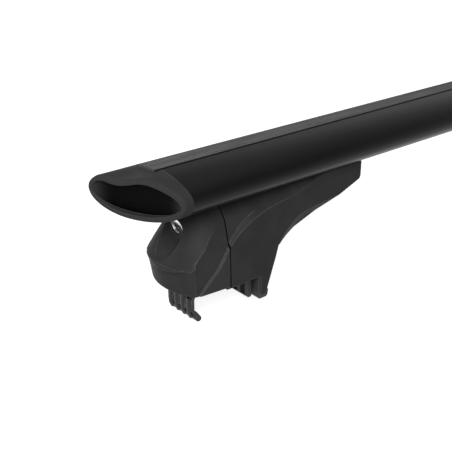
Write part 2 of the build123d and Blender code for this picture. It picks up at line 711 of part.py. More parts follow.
def mount_plate():
    plate = block(
        (PLATE_FRONT_X, PLATE_BACK_X), about(0, PLATE_HALF_WIDTH), (PLATE_BOTTOM_Z, ROOF_Z)
    )
    for x in TEE_X:
        plate -= upright((x, 0, PLATE_BOTTOM_Z), TEE_DIAMETER / 2 + SLIP_FIT, PLATE_THICKNESS)
    return plate


def tee_bolts():
    """Two bolts whose flat heads slide in the bar's lower channel."""
    head_z = FOOT_CHANNEL_Z + SLIP_FIT
    tail_z = PLATE_BOTTOM_Z - FLANGE_NUT_HEIGHT - TEE_TAIL
    bolts = Part()
    for x in TEE_X:
        head = block(
            about(x, TEE_HEAD_LENGTH / 2),
            about(0, TEE_HEAD_WIDTH / 2),
            (head_z, head_z + TEE_HEAD_HEIGHT),
        )
        bolts += head + upright((x, 0, tail_z), TEE_DIAMETER / 2, head_z - tail_z)
    return bolts


def tee_nuts():
    nuts = Part()
    bottom_z = PLATE_BOTTOM_Z - FLANGE_NUT_HEIGHT
    for x in TEE_X:
        base = Pos(x, 0, bottom_z)
        hexagon = extrude(base * RegularPolygon(FLANGE_NUT_AF / 2, 6, major_radius=False), FLANGE_NUT_HEIGHT)
        flange = upright((x, 0, PLATE_BOTTOM_Z - FLANGE_THICKNESS), FLANGE_DIAMETER / 2, FLANGE_THICKNESS)
        hole = upright((x, 0, bottom_z), TEE_DIAMETER / 2 + SLIP_FIT, FLANGE_NUT_HEIGHT)
        nuts += hexagon + flange - hole
    return nuts


def lock_housing():
    """Sleeve of the lock, with the collar that shows round the barrel."""
    sleeve = on_lock_axis(LOCK_DIAMETER / 2, -LOCK_LENGTH, 0)
    collar = on_lock_axis(LOCK_COLLAR_DIAMETER / 2, -LOCK_COLLAR_THICKNESS, 0)
    return sleeve + collar - on_lock_axis(BARREL_DIAMETER / 2 + SLIP_FIT, -LOCK_LENGTH, 0)


def barrel_back():
    return -LOCK_LENGTH - BARREL_TAIL


def lock_barrel():
    """Turning barrel with a keyway in front and a tapped hole for the cam behind."""
    barrel = on_lock_axis(BARREL_DIAMETER / 2, barrel_back(), -BARREL_RECESS)
    keyway = lock_plane() * Pos(0, 0, -KEYWAY_DEPTH / 2) * Box(KEYWAY_HEIGHT, KEYWAY_WIDTH, KEYWAY_DEPTH)
    tapped = on_lock_axis(CAM_SCREW_DIAMETER / 2, barrel_back(), barrel_back() + CAM_SCREW_LENGTH)
    return barrel - keyway - tapped


def lock_cam():
    """Cam that points to +Y when unlocked and drops behind the body's catch when locked."""
    back = lock_plane() * Pos(0, 0, barrel_back() - CAM_THICKNESS)
    reach = CAM_REACH - CAM_ARM_WIDTH / 2
    arm = Pos(reach / 2, 0) * Rectangle(reach, CAM_ARM_WIDTH) + Pos(reach, 0) * Circle(CAM_ARM_WIDTH / 2)
    outline = Circle(CAM_HUB_DIAMETER / 2) + arm - Circle(CAM_SCREW_DIAMETER / 2)
    return extrude(back * outline, CAM_THICKNESS)


def cam_screw():
    head_diameter, head_height = CAM_SCREW_HEAD
    seat = barrel_back() - CAM_THICKNESS
    shank = on_lock_axis(CAM_SCREW_DIAMETER / 2, seat, barrel_back() + CAM_SCREW_LENGTH)
    return shank + on_lock_axis(head_diameter / 2, seat - head_height, seat)


def foot_pieces():
    form = outer_form()
    return {
        "foot_body": foot_body(form),
        "outer_cover": outer_cover(form),
        "rail_pad": rail_pad(),
        "claw": claw(),
        "claw_sleeve": claw_sleeve(),
        "clamp_bolt": clamp_bolt(),
        "clamp_washer": clamp_washer(),
        "clamp_nut": clamp_nut(),
        "mount_plate": mount_plate(),
        "tee_bolts": tee_bolts(),
        "tee_nuts": tee_nuts(),
        "lock_housing": lock_housing(),
        "lock_barrel": lock_barrel(),
        "lock_cam": lock_cam(),
        "lock_cam_screw": cam_screw(),
        "end_cap": end_cap(),
    }


def all_pieces():
    pieces = {"bar_extrusion": bar_extrusion(), "top_strip": top_strip()}
    for name, piece in foot_pieces().items():
        left = Pos(-BAR_LENGTH / 2, 0, 0) * piece
        pieces["left_" + name] = left
        pieces["right_" + name] = mirror(left, about=Plane.YZ)
    return pieces


os.makedirs("parts", exist_ok=True)
for node, solid in all_pieces().items():
    export_step(solid, os.path.join("parts", node + ".step"))
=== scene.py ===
import json
import math

import bmesh
import bpy
from bpy.props import FloatProperty, FloatVectorProperty, IntProperty, PointerProperty
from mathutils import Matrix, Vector


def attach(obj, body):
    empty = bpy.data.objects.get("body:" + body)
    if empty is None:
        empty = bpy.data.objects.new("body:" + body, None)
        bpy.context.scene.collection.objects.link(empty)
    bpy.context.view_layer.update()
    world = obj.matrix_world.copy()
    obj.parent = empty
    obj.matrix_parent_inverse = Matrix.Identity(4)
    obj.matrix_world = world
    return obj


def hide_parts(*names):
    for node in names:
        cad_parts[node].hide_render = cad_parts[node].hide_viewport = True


bl_info = {
    "name": "Roof crossbar looks",
    "version": (1, 0, 0),
    "blender": (4, 5, 0),
    "location": "3D View > Sidebar > Crossbar",
    "description": "Eased edges, finishes and a studio for a wing-section roof crossbar on clamp feet",
    "category": "Object",
}

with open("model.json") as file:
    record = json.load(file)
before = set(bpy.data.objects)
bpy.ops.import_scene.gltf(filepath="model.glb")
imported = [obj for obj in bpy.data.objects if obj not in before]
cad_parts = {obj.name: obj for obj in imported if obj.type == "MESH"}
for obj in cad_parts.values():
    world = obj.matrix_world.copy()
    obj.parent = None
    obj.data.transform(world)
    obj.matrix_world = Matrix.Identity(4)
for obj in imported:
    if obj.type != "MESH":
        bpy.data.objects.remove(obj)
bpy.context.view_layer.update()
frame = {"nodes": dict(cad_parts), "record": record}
BODY_OF = {
    node: body
    for body, nodes in frame["record"]["behaviour"]["bodies"].items()
    for node in nodes
}
OUTWARDS = {"left": -1.0, "right": 1.0}
SIDES = tuple(OUTWARDS)

# Copies of the CAD meshes: corners this close become one, faces this flat too, and such turns look smooth.
WELD_DISTANCE = 2e-6
FLAT_ANGLE = math.radians(0.4)
SMOOTH_ANGLE = math.radians(34.0)

# A cap's dish: how squarely its faces look outwards, the depth where it begins, and the depth where its
# painted shade is darkest.
DISH_FACING = 0.8
DISH_SHALLOW = 0.0002
DISH_FULL = 0.0042

# Shaded joints: distances over which a joint's painted shade fades, and the share of it that hides the
# painted edge highlight.
PARTING_FADE = (0.0004, 0.0009)
CHANNEL_FADE = (0.0005, 0.0013)
CHANNEL_RISE = 0.001
PARTING_HIDES = (0.0, 0.4)

# Moulded grain: scale of its cells and patches next to the finest grain, and height of the cells.
CELL_SCALE = 0.8
PATCH_SCALE = 0.02
CELL_HEIGHT = 0.6

# Edges: 1 less the cosine of a turn that counts as one, the noise of the wear, and what both change: a
# painted highlight along eased edges, their polish, and bare metal where steel is worn.
EASED_TURN = (0.002, 0.05)
WEAR_SPAN = (0.42, 0.68)
EASED_PAINTED_HIGHLIGHT = 0.55
EASED_POLISH = 0.10
WORN_METAL = 0.9

# Drawn lines: stretch along the bar, scale of the broad lines next to the fine, and the grain over them.
LINE_STRETCH = (0.012, 1.0, 1.0)
BROAD_SCALE = 0.15
STREAK_GRAIN = 0.3

# Dust: how far up a face looks, its specks and clouds, and its colour on each kind of piece.
DUST_FACING = (0.35, 0.95)
SPECK_SCALE = 900.0
SPECK_SPAN = (0.55, 0.8)
SPECK_SHARE = 0.4
CLOUD_SCALE = 30.0
FOOT_DUST = (0.16, 0.16, 0.155, 1.0)
BAR_DUST = (0.15, 0.15, 0.145, 1.0)
STRIP_DUST = (0.30, 0.30, 0.29, 1.0)

# Parts of a noise's range that tones and gloss follow.
TONE_SPAN = (0.35, 0.65)
STREAK_SPAN = (0.32, 0.68)
GLOSS_SPAN = (0.3, 0.7)

# Stage: places and sizes in metres, and the heights of a direction over which the sky changes.
STAGE_AIM = (-0.42, 0.0, 0.08)
OVERHEAD_PLACE = (-0.35, 0.25, 1.30)
OVERHEAD_SIZE = (1.6, 1.2)
SIDE_PLACE = (-1.40, -1.00, 1.20)
SIDE_SIZE = (0.9, 0.9)
FLOOR_HALF = 6.0
FLOOR_ROUGH = 0.9
LIGHT_SPAN = (-0.2, 0.9)
BACKDROP_SPAN = (0.1, 0.75)
NEAREST = 0.01


def length(name, description, default):
    return FloatProperty(
        name=name, description=description, default=default, min=0.0, unit="LENGTH", precision=5
    )


def share(name, description, default):
    return FloatProperty(
        name=name, description=description, default=default, min=0.0, max=1.0, subtype="FACTOR"
    )


def positive(name, description, default):
    return FloatProperty(name=name, description=description, default=default, min=0.0)


def angle(name, description, degrees):
    return FloatProperty(
        name=name, description=description, default=math.radians(degrees), subtype="ANGLE"
    )


def colour(name, description, default):
    return FloatVectorProperty(
        name=name, description=description, default=default, size=3, min=0.0, max=1.0, subtype="COLOR"
    )


class CrossbarFinishes(bpy.types.PropertyGroup):
    """Colours and surface texture of the rack's materials"""

    coat: colour("Bar coat", "Satin coat on the extrusion", (0.004, 0.004, 0.0042))
    coat_rough: share("Bar roughness", "How far the coat blurs a reflection", 0.33)
    coat_shine: share("Bar shine", "Strength of the coat's reflection", 0.13)
    cover: colour("Cover plastic", "Moulded plastic of the pull-off covers", (0.030, 0.030, 0.0306))
    body: colour("Body plastic", "Moulded plastic of the feet", (0.027, 0.027, 0.0275))
    cap: colour("Cap plastic", "Moulded plastic of the end caps", (0.030, 0.030, 0.0306))
    # Painted shade: the colour at the bottom of the caps' dished ends, far darker than the cap's plastic.
    dish: colour("Dish painted shade", "Matt plastic in the dished ends of the caps", (0.0015, 0.0015, 0.0016))
    plastic_rough: share("Plastic roughness", "How far the moulded plastic blurs a reflection", 0.50)
    plastic_shine: share("Plastic shine", "Strength of the moulded plastic's reflection", 0.04)
    dish_shine: share("Dish shine", "Strength of the reflection in the dished ends", 0.03)
    grain: length("Grain size", "Width of one grain of the moulded texture", 0.00045)
    strip: colour("Strip rubber", "Rubber in the top channel", (0.090, 0.090, 0.090))
    pad: colour("Pad rubber", "Rubber that grips the rail", (0.012, 0.012, 0.012))
    claw: colour("Claw coat", "Coat on the steel claw", (0.006, 0.006, 0.006))
    steel: colour("Bare steel", "Steel that shows where a coat is worn", (0.36, 0.36, 0.36))
    zinc: colour("Zinc", "Plating on bolts, nuts and plates", (0.56, 0.57, 0.58))
    chrome: colour("Chrome", "Plating on the lock", (0.78, 0.78, 0.79))


class CrossbarEdges(bpy.types.PropertyGroup):
    """How far each piece's sharp edges are eased"""

    moulded: length("Moulded edge", "Radius on the cover and the body", 0.0016)
    cap: length("Cap edge", "Radius on the end cap's sharp lines", 0.0012)
    rubber: length("Rubber edge", "Radius on pads and sleeves", 0.0005)
    sheet: length("Sheet edge", "Radius on the claw's sheet", 0.0004)
    lock: length("Lock edge", "Radius on the lock", 0.0003)
    corner: angle("Corner angle", "Edges that turn further than this are eased", 24.0)
    steps: IntProperty(name="Steps", description="Faces across an eased edge", default=2, min=1, max=4)


class CrossbarStudio(bpy.types.PropertyGroup):
    """Camera and light"""

    eye: FloatVectorProperty(
        name="Camera place",
        description="Where the camera stands",
        default=(-0.79996, -0.43131, 0.31770),
        subtype="TRANSLATION",
        unit="LENGTH",
    )
    azimuth: angle("Azimuth", "Turn of the view from +Y towards +X", 39.8)
    elevation: angle("Elevation", "How far the camera looks down", 24.4)
    lens: positive("Lens", "Focal length in millimetres on a 36 mm frame", 64.04)
    sky: positive("Sky", "Strength of the even light from above", 0.20)
    ground: positive("Ground", "Strength of the even light from below", 0.08)
    ceiling: share("Ceiling", "Strength of the backdrop overhead, where it is white at the horizon", 0.15)
    overhead: positive("Overhead", "Power of the softbox above", 3.0)
    side: positive("Side", "Power of the softbox at the near end", 36.0)
    floor: colour("Floor", "Colour of the floor", (0.50, 0.50, 0.50))
    floor_glow: share("Floor white", "How far the floor is lifted towards white in the picture", 0.85)


def finishes():
    return bpy.context.scene.crossbar_finishes


def edges():
    return bpy.context.scene.crossbar_edges


def studio():
    return bpy.context.scene.crossbar_studio


class Board:
    """A node tree that is filled from left to right."""

    def __init__(self, tree):
        self.tree = tree

    def feed(self, socket, value):
        """Links a socket to another one, or sets its value."""
        if isinstance(value, bpy.types.NodeSocket):
            self.tree.links.new(value, socket)
        else:
            socket.default_value = value

    def add(self, kind, inputs=None, **settings):
        node = self.tree.nodes.new(kind)
        for key, value in settings.items():
            setattr(node, key, value)
        for key, value in (inputs or {}).items():
            self.feed(node.inputs[key], value)
        return node

    def place(self):
        return self.add("ShaderNodeTexCoord").outputs["Object"]

    def split(self, vector):
        return self.add("ShaderNodeSeparateXYZ", {0: vector}).outputs

    def math(self, operation, *values, clamp=False):
        inputs = dict(enumerate(values))
        return self.add("ShaderNodeMath", inputs, operation=operation, use_clamp=clamp).outputs[0]

    def rest(self, value):
        """What is left of 1."""
        return self.math("SUBTRACT", 1.0, value)

    def apart(self, first, second):
        return self.math("ABSOLUTE", self.math("SUBTRACT", first, second))

    def ramp(self, value, span, into=(0.0, 1.0)):
        """Smooth step of a value over a span, into a range."""
        inputs = {
            "Value": value,
            "From Min": span[0],
            "From Max": span[1],
            "To Min": into[0],
            "To Max": into[1],
        }
        return self.add("ShaderNodeMapRange", inputs, interpolation_type="SMOOTHSTEP").outputs["Result"]

    def blend(self, mask, first, second):
        node = self.add("ShaderNodeMix", data_type="RGBA")
        sockets = {socket.identifier: socket for socket in node.inputs}
        self.feed(sockets["Factor_Float"], mask)
        self.feed(sockets["A_Color"], first)
        self.feed(sockets["B_Color"], second)
        return next(socket for socket in node.outputs if socket.identifier == "Result_Color")

    def noise(self, where, scale, detail=2.0, roughness=0.5):
        inputs = {"Vector": where, "Scale": scale, "Detail": detail, "Roughness": roughness}
        return self.add("ShaderNodeTexNoise", inputs).outputs["Fac"]


def node_group(name, outputs, fill, inputs):
    """Shader node group with float inputs {name: default}, and outputs that are floats or a Normal."""
    tree = bpy.data.node_groups.new(name, "ShaderNodeTree")
    for key, default in inputs.items():
        socket = tree.interface.new_socket(key, in_out="INPUT", socket_type="NodeSocketFloat")
        socket.default_value = default
    for key in outputs:
        kind = "NodeSocketVector" if key == "Normal" else "NodeSocketFloat"
        tree.interface.new_socket(key, in_out="OUTPUT", socket_type=kind)
    board = Board(tree)
    results = fill(board, board.add("NodeGroupInput").outputs)
    board.add("NodeGroupOutput", results)
    return tree


def placed(board, name, outputs, fill, **inputs):
    """Outputs of a node group that is built once and placed here with these inputs."""
    node = board.tree.nodes.new("ShaderNodeGroup")
    node.node_tree = bpy.data.node_groups.get(name) or node_group(name, outputs, fill, inputs)
    for key, value in inputs.items():
        node.inputs[key].default_value = value
    return node.outputs


def fill_moulded_grain(board, given):
    place = board.place()
    per_metre = board.math("DIVIDE", 1.0, given["Size"])
    fine = board.noise(place, per_metre, detail=1.0)
    cell_scale = board.math("MULTIPLY", per_metre, CELL_SCALE)
    cells = board.add("ShaderNodeTexVoronoi", {"Vector": place, "Scale": cell_scale}).outputs["Distance"]
    patches = board.noise(place, board.math("MULTIPLY", per_metre, PATCH_SCALE), detail=3.0)
    height = board.math("ADD", fine, board.math("MULTIPLY", cells, CELL_HEIGHT))
    return {"Height": height, "Patches": patches}


def fill_worn_edge(board, given):
    rounded = board.add("ShaderNodeBevel", {"Radius": given["Radius"]}, samples=6).outputs["Normal"]
    flat = board.add("ShaderNodeNewGeometry").outputs["Normal"]
    likeness = board.add("ShaderNodeVectorMath", {0: rounded, 1: flat}, operation="DOT_PRODUCT")
    on_edge = board.ramp(board.rest(likeness.outputs["Value"]), EASED_TURN)
    scuffs = board.noise(board.place(), given["Scale"], detail=4.0, roughness=0.6)
    rubbed_wear_and_highlight = board.math("MULTIPLY", on_edge, board.ramp(scuffs, WEAR_SPAN))
    worn = board.math("MULTIPLY", rubbed_wear_and_highlight, given["Amount"], clamp=True)
    return {"Worn": worn, "Eased": on_edge, "Normal": rounded}


def fill_parting_gap(board, given):
    along = board.math("ABSOLUTE", board.split(board.place())["X"])
    near = board.rest(board.ramp(board.apart(along, given["Plane"]), PARTING_FADE))
    return {"Painted gap shade": near, "Clear": board.rest(board.ramp(near, PARTING_HIDES))}


def fill_channel_gap(board, given):
    place = board.split(board.place())
    across = board.apart(place["Y"], given["Middle"])
    near = board.rest(board.ramp(board.apart(across, given["Half"]), CHANNEL_FADE))
    risen = board.math("ADD", given["Floor"], CHANNEL_RISE)
    above = board.ramp(place["Z"], (given["Floor"], risen))
    return {"Painted gap shade": board.math("MULTIPLY", near, above)}


def fill_dish_depth(board, given):
    place = board.split(board.place())
    along = board.math("MULTIPLY", board.math("ABSOLUTE", place["X"]), given["Along"])
    outwards = board.math("MULTIPLY_ADD", place["Y"], given["Across"], along)
    depth = board.math("SUBTRACT", given["Reach"], outwards)
    return {"Deep": board.ramp(depth, (0.0, given["Full"]))}


def fill_drawn_lines(board, given):
    mapping = board.add("ShaderNodeMapping", {"Vector": board.place(), "Scale": LINE_STRETCH})
    stretched = mapping.outputs["Vector"]
    fine = board.noise(stretched, given["Scale"], detail=3.0, roughness=0.65)
    broad = board.noise(stretched, board.math("MULTIPLY", given["Scale"], BROAD_SCALE))
    return {"Fine": fine, "Broad": broad}


def fill_settled_dust(board, given):
    place = board.place()
    facing = board.split(board.add("ShaderNodeNewGeometry").outputs["Normal"])
    upward = board.ramp(facing["Z"], DUST_FACING)
    specks = board.ramp(board.noise(place, SPECK_SCALE), SPECK_SPAN)
    clouds = board.noise(place, CLOUD_SCALE, detail=4.0, roughness=0.6)
    cover = board.math("ADD", board.math("MULTIPLY", specks, SPECK_SHARE), clouds)
    dust = board.math("MULTIPLY", upward, cover)
    return {"Dust": board.math("MULTIPLY", dust, given["Amount"], clamp=True)}


def moulded_grain(board, size):
    return placed(board, "Moulded grain", ("Height", "Patches"), fill_moulded_grain, Size=size)


def worn_edge(board, radius, scale, amount):
    outputs = ("Worn", "Eased", "Normal")
    return placed(board, "Worn edge", outputs, fill_worn_edge, Radius=radius, Scale=scale, Amount=amount)


def parting_gap(board):
    """The shaded joint between cover and body, at the cover's inner end."""
    plane = min(abs(corner.co.x) for corner in frame["nodes"]["left_outer_cover"].data.vertices)
    return placed(board, "Parting gap painted shade", ("Painted gap shade", "Clear"), fill_parting_gap, Plane=plane)


def channel_gap(board):
    """The shaded joint between the strip and the bar, along both of the strip's sides."""
    corners = [corner.co for corner in frame["nodes"]["top_strip"].data.vertices]
    left = min(corner.y for corner in corners)
    right = max(corner.y for corner in corners)
    strip = {
        "Middle": (left + right) / 2,
        "Half": (right - left) / 2,
        "Floor": min(corner.z for corner in corners),
    }
    return placed(board, "Channel gap painted shade", ("Painted gap shade",), fill_channel_gap, **strip)["Painted gap shade"]


def dish_depth(board, axis, reach):
    """0 at the rim of a cap's dish and 1 where the dish is deep."""
    dish = {"Along": abs(axis.x), "Across": axis.y, "Reach": reach, "Full": DISH_FULL}
    return placed(board, "Dish depth", ("Deep",), fill_dish_depth, **dish)["Deep"]


def drawn_lines(board, scale):
    return placed(board, "Drawn lines", ("Fine", "Broad"), fill_drawn_lines, Scale=scale)


def settled_dust(board, amount):
    return placed(board, "Settled dust", ("Dust",), fill_settled_dust, Amount=amount)["Dust"]


def opaque(shade, gain=1.0):
    return (shade[0] * gain, shade[1] * gain, shade[2] * gain, 1.0)


def patchy(board, noise, shade, dark, pale, span=TONE_SPAN):
    """A shade that a noise varies between two gains."""
    return board.blend(board.ramp(noise, span), opaque(shade, dark), opaque(shade, pale))


def bumped(board, height, depth, strength, over=None):
    inputs = {"Height": height, "Distance": depth, "Strength": strength}
    if over:
        inputs["Normal"] = over
    return board.add("ShaderNodeBump", inputs).outputs["Normal"]


def material(name, dress, **constants):
    """Material with one Principled shader: constants on its plain sockets, and dress() links the others."""
    made = bpy.data.materials.get(name)
    if made:
        return made
    made = bpy.data.materials.new(name)
    made.use_nodes = True
    board = Board(made.node_tree)
    shader = made.node_tree.nodes["Principled BSDF"]
    for key, value in constants.items():
        shader.inputs[key.replace("_", " ")].default_value = value
    for key, socket in dress(board).items():
        made.node_tree.links.new(socket, shader.inputs[key])
    return made


def moulded_plastic(name, shade, rough, shine):
    """Grained moulded plastic: patchy gloss, rubbed edges with a painted highlight, painted shade at the
    joint and a little dust on top.
    """

    def dress(board):
        grain = moulded_grain(board, finishes().grain)
        edge = worn_edge(board, edges().moulded, scale=160.0, amount=0.55)
        joint = parting_gap(board)
        painted_edge_highlight = board.math("MULTIPLY", edge["Eased"], joint["Clear"])
        rubbed_wear_and_highlight = board.math("MULTIPLY", edge["Worn"], joint["Clear"])
        base = patchy(board, grain["Patches"], shade, dark=0.9, pale=1.12)
        # Painted highlight: every eased edge is made paler, except next to the joint.
        base = board.blend(board.math("MULTIPLY", painted_edge_highlight, EASED_PAINTED_HIGHLIGHT), base, opaque(shade, gain=2.6))
        # Rubbed wear along the edges, made pale enough to serve partly as a painted highlight too.
        base = board.blend(rubbed_wear_and_highlight, base, opaque(shade, gain=3.4))
        # Painted shade in the joint between cover and body.
        base = board.blend(joint["Painted gap shade"], base, opaque(shade, gain=0.1))
        base = board.blend(settled_dust(board, amount=0.04), base, FOOT_DUST)
        gloss = board.ramp(grain["Patches"], GLOSS_SPAN, into=(rough - 0.04, rough + 0.05))
        gloss = board.math("SUBTRACT", gloss, board.math("MULTIPLY", edge["Eased"], EASED_POLISH))
        normal = bumped(board, grain["Height"], depth=0.00004, strength=0.55, over=edge["Normal"])
        return {"Base Color": base, "Roughness": gloss, "Normal": normal}

    return material(name, dress, IOR=1.49, Specular_IOR_Level=shine)


def dish_plastic_with_painted_shade(name, looks, axis, reach):
    """Matt plastic with painted light and shade: lighter than the cap at a dish's rim, and darkening to its
    bottom.
    """

    def dress(board):
        grain = moulded_grain(board, looks.grain)
        # Painted light at the rim, where the cap's shade is made 1.3 times paler, and painted shade deeper
        # in the dish.
        base = board.blend(dish_depth(board, axis, reach), opaque(looks.cap, gain=1.3), opaque(looks.dish))
        rough = looks.plastic_rough
        gloss = board.ramp(grain["Patches"], GLOSS_SPAN, into=(rough, rough + 0.08))
        normal = bumped(board, grain["Height"], depth=0.00004, strength=0.55)
        return {"Base Color": base, "Roughness": gloss, "Normal": normal}

    return material(name, dress, IOR=1.49, Specular_IOR_Level=looks.dish_shine)


def satin_coat(name, shade, rough, shine):
    """Satin coat on drawn aluminium: faint lines along the bar, a fine peel and painted shade along the
    channel's edges.
    """

    def dress(board):
        lines = drawn_lines(board, scale=2600.0)
        grain = moulded_grain(board, size=0.0009)
        base = patchy(board, lines["Broad"], shade, dark=0.92, pale=1.1)
        base = board.blend(settled_dust(board, amount=0.02), base, BAR_DUST)
        # Painted shade where the strip's sides meet the bar.
        base = board.blend(channel_gap(board), base, opaque(shade, gain=0.1))
        gloss = board.ramp(lines["Fine"], GLOSS_SPAN, into=(rough - 0.01, rough + 0.01))
        normal = bumped(board, grain["Height"], depth=0.000015, strength=0.4)
        return {"Base Color": base, "Roughness": gloss, "Normal": normal}

    return material(name, dress, IOR=1.5, Specular_IOR_Level=shine)


def strip_rubber(name, shade):
    """Matt extruded rubber: fine streaks along its length, chalky dust and painted shade along its sides.
    """

    def dress(board):
        lines = drawn_lines(board, scale=1500.0)
        grain = moulded_grain(board, size=0.0006)
        base = patchy(board, lines["Fine"], shade, dark=0.45, pale=1.45, span=STREAK_SPAN)
        base = board.blend(settled_dust(board, amount=0.10), base, STRIP_DUST)
        # Painted shade along the strip's sides, where it meets the bar.
        base = board.blend(channel_gap(board), base, opaque(shade, gain=0.03))
        gloss = board.ramp(lines["Broad"], GLOSS_SPAN, into=(0.66, 0.80))
        height = board.math("ADD", lines["Fine"], board.math("MULTIPLY", grain["Height"], STREAK_GRAIN))
        normal = bumped(board, height, depth=0.00008, strength=0.6)
        return {"Base Color": base, "Roughness": gloss, "Normal": normal}

    return material(name, dress, IOR=1.45, Specular_IOR_Level=0.3)


def pad_rubber(name, shade):
    """Soft black rubber: satin skin with rubbed edges."""

    def dress(board):
        grain = moulded_grain(board, size=0.0008)
        edge = worn_edge(board, edges().rubber, scale=220.0, amount=0.4)
        base = patchy(board, grain["Patches"], shade, dark=0.85, pale=1.25)
        base = board.blend(edge["Worn"], base, opaque(shade, gain=2.4))
        gloss = board.ramp(grain["Patches"], GLOSS_SPAN, into=(0.52, 0.66))
        normal = bumped(board, grain["Height"], depth=0.00005, strength=0.5, over=edge["Normal"])
        return {"Base Color": base, "Roughness": gloss, "Normal": normal}

    return material(name, dress, IOR=1.5)


def coated_steel(name, shade, steel):
    """Black coated steel, rubbed through to bare metal along its edges."""

    def dress(board):
        grain = moulded_grain(board, size=0.0007)
        edge = worn_edge(board, edges().sheet, scale=300.0, amount=0.7)
        base = patchy(board, grain["Patches"], shade, dark=0.85, pale=1.2)
        base = board.blend(edge["Worn"], base, opaque(steel))
        gloss = board.ramp(grain["Patches"], GLOSS_SPAN, into=(0.30, 0.42))
        bare = board.math("MULTIPLY", edge["Worn"], WORN_METAL)
        normal = bumped(board, grain["Height"], depth=0.00003, strength=0.5, over=edge["Normal"])
        return {"Base Color": base, "Roughness": gloss, "Metallic": bare, "Normal": normal}

    return material(name, dress, IOR=1.55, Specular_IOR_Level=0.3)


def plated(name, shade, rough, lines_per_metre):
    """Plated metal with drawn marks in its gloss, between two roughnesses."""

    def dress(board):
        lines = drawn_lines(board, lines_per_metre)
        grain = moulded_grain(board, size=0.0006)
        base = patchy(board, grain["Patches"], shade, dark=0.9, pale=1.0, span=GLOSS_SPAN)
        gloss = board.ramp(lines["Fine"], GLOSS_SPAN, into=rough)
        normal = bumped(board, grain["Height"], depth=0.00001, strength=0.3)
        return {"Base Color": base, "Roughness": gloss, "Normal": normal}

    return material(name, dress, Metallic=1.0)


def dress_node(node, finish):
    """Gives a CAD node one finish."""
    slots = frame["nodes"][node].data.materials
    slots.clear()
    slots.append(finish)


def eased(node, radius, finish):
    """Copy of a CAD node with its sharp edges eased, which stands for the node."""
    bm = bmesh.new()
    bm.from_mesh(frame["nodes"][node].data)
    bmesh.ops.remove_doubles(bm, verts=bm.verts, dist=WELD_DISTANCE)
    bmesh.ops.dissolve_limit(bm, angle_limit=FLAT_ANGLE, verts=bm.verts, edges=bm.edges)
    sharp = [
        edge
        for edge in bm.edges
        if len(edge.link_faces) == 2 and edge.calc_face_angle(0.0) > edges().corner
    ]
    bmesh.ops.bevel(
        bm,
        geom=sharp,
        offset=radius,
        offset_type="OFFSET",
        segments=edges().steps,
        profile=0.5,
        affect="EDGES",
        clamp_overlap=True,
        material=-1,
    )
    for face in bm.faces:
        face.smooth = True
    mesh = bpy.data.meshes.new(node + "_eased")
    bm.to_mesh(mesh)
    bm.free()
    mesh.set_sharp_from_angle(angle=SMOOTH_ANGLE)
    mesh.materials.append(finish)
    piece = bpy.data.objects.new(node + "_eased", mesh)
    bpy.context.scene.collection.objects.link(piece)
    piece.modifiers.new("Even shading", "WEIGHTED_NORMAL").keep_sharp = True
    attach(piece, BODY_OF[node])
    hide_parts(node)
    return piece


def dish_of(mesh, outwards):
    """The way that an end cap's dish looks, its rim's reach that way, and its faces behind the rim."""
    facing = [face for face in mesh.polygons if face.normal.x * outwards > DISH_FACING]
    axis = sum((face.normal * face.area for face in facing), Vector()).normalized()
    reach = max(corner.co.dot(axis) for corner in mesh.vertices)
    sunk = [face for face in facing if reach - face.center.dot(axis) > DISH_SHALLOW]
    return axis, reach, sunk


class CROSSBAR_OT_extrusion(bpy.types.Operator):
    """Finish the wing-section extrusion"""

    bl_idname = "crossbar.extrusion"
    bl_label = "Extrusion"

    def execute(self, context):
        looks = finishes()
        coat = satin_coat("Satin bar coat", looks.coat, looks.coat_rough, looks.coat_shine)
        dress_node("bar_extrusion", coat)
        return {"FINISHED"}


class CROSSBAR_OT_strip(bpy.types.Operator):
    """Finish the rubber strip in the top channel"""

    bl_idname = "crossbar.strip"
    bl_label = "Top strip"

    def execute(self, context):
        dress_node("top_strip", strip_rubber("Streaked strip rubber", finishes().strip))
        return {"FINISHED"}


class CROSSBAR_OT_caps(bpy.types.Operator):
    """Ease and finish the end caps"""

    bl_idname = "crossbar.caps"
    bl_label = "End caps"

    def execute(self, context):
        looks = finishes()
        plastic = moulded_plastic("Cap plastic", looks.cap, looks.plastic_rough, looks.plastic_shine)
        for side, outwards in OUTWARDS.items():
            mesh = eased(side + "_end_cap", edges().cap, plastic).data
            axis, reach, sunk = dish_of(mesh, outwards)
            mesh.materials.append(dish_plastic_with_painted_shade("Dish painted shade", looks, axis, reach))
            # The faces behind the rim take the material with the dish's painted shade.
            for face in sunk:
                face.material_index = 1
        return {"FINISHED"}


class CROSSBAR_OT_feet(bpy.types.Operator):
    """Ease and finish the moulded covers and bodies of the feet"""

    bl_idname = "crossbar.feet"
    bl_label = "Feet"

    def execute(self, context):
        looks = finishes()
        cover = moulded_plastic("Cover plastic", looks.cover, looks.plastic_rough, looks.plastic_shine)
        body = moulded_plastic("Body plastic", looks.body, looks.plastic_rough, looks.plastic_shine)
        for side in SIDES:
            eased(side + "_outer_cover", edges().moulded, cover)
            eased(side + "_foot_body", edges().moulded, body)
        return {"FINISHED"}


class CROSSBAR_OT_pads(bpy.types.Operator):
    """Ease and finish the rubber pads and claw sleeves"""

    bl_idname = "crossbar.pads"
    bl_label = "Rubber pads"

    def execute(self, context):
        rubber = pad_rubber("Grip rubber", finishes().pad)
        for side in SIDES:
            eased(side + "_rail_pad", edges().rubber, rubber)
            eased(side + "_claw_sleeve", edges().rubber, rubber)
        return {"FINISHED"}


class CROSSBAR_OT_claws(bpy.types.Operator):
    """Ease and finish the steel claws"""

    bl_idname = "crossbar.claws"
    bl_label = "Claws"

    def execute(self, context):
        coat = coated_steel("Claw coat", finishes().claw, finishes().steel)
        for side in SIDES:
            eased(side + "_claw", edges().sheet, coat)
        return {"FINISHED"}


